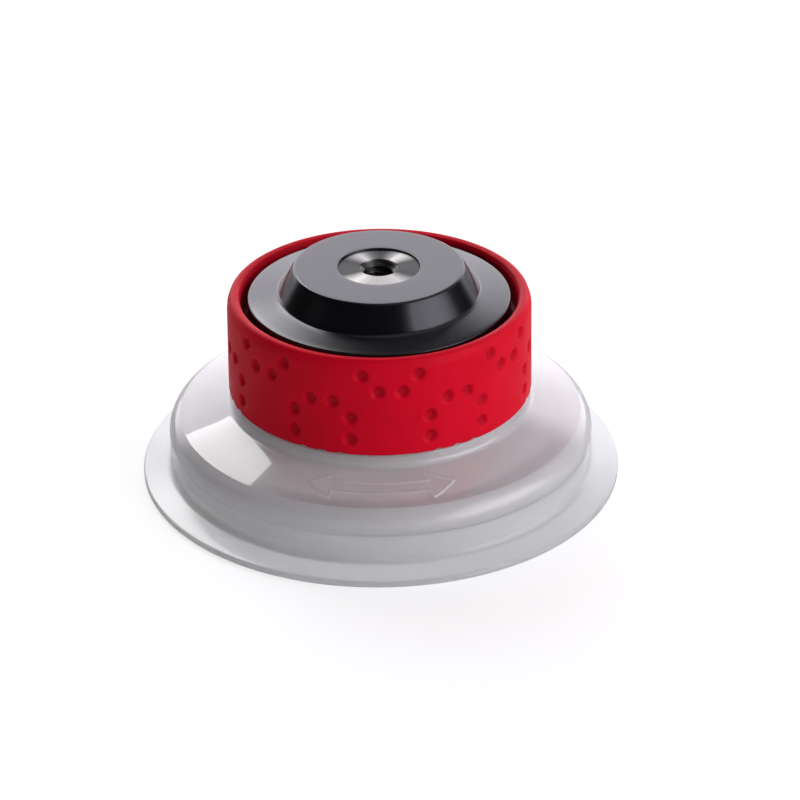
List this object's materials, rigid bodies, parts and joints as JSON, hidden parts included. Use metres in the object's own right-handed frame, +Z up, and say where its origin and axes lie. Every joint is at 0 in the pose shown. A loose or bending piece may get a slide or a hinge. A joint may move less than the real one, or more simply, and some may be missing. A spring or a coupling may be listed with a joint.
{
  "type": "vacuum suction cup",
  "caption": "Twist-lock vacuum suction cup: turning the grip ring lifts the soft cup's centre; threaded camera mount on top",
  "frame": {"origin": "on the turning axis, at the plane the flange rests on", "axes": "+Z up along the turning axis and out of the camera thread, +X along the cross pin, +Y completes the right-handed frame"},
  "size_m": [0.088, 0.088, 0.04],
  "materials": {
    "clear_soft": "soft clear moulding, milky, glossy",
    "clear_rigid": "rigid translucent moulding, milky, polished",
    "white_plastic": "natural acetal, satin",
    "black_plastic": "black moulding, satin",
    "red_rubber": "red moulded rubber, matte",
    "red_plastic": "red moulding, satin",
    "seal_rubber": "black seal foam",
    "steel": "turned stainless steel",
    "bronze": "plain sintered bearing bronze"
  },
  "bodies": {
    "housing": {"suction_cup": "clear_soft", "cup_retaining_ring": "white_plastic", "pressure_bell": "clear_rigid", "stem_bush": "bronze", "stop_pins": "steel", "glide_washer": "white_plastic", "hub_cap": "black_plastic", "hub_screws": "steel", "thread_insert": "steel", "insert_nut": "steel", "spring_cap": "steel", "wave_washer": "steel", "dust_seal": "seal_rubber"},
    "lock_ring": {"grip_sleeve": "red_rubber", "ring_drum": "red_plastic", "cam_ring": "white_plastic", "cam_screws": "steel"},
    "lift_stem_group": {"anchor_plate": "steel", "anchor_stud": "steel", "lift_stem": "white_plastic", "cross_pin": "steel", "follower_sleeves": "white_plastic", "spring_seat": "steel", "return_spring": "steel"}
  },
  "joints": [
    {"name": "ring_turn", "type": "hinge", "parent": "housing", "child": "lock_ring", "pos_m": [0, 0, 0.018], "axis": [0, 0, -1], "range_deg": [0, 100]},
    {"name": "stem_lift", "type": "slide", "parent": "housing", "child": "lift_stem_group", "axis": [0, 0, 1], "range_m": [0, 0.00351], "deforming": ["return_spring", "suction_cup"]}
  ],
  "couplings": [
    {"joint": "stem_lift", "follows": "ring_turn", "m_per_rad": 0.0020054}
  ]
}
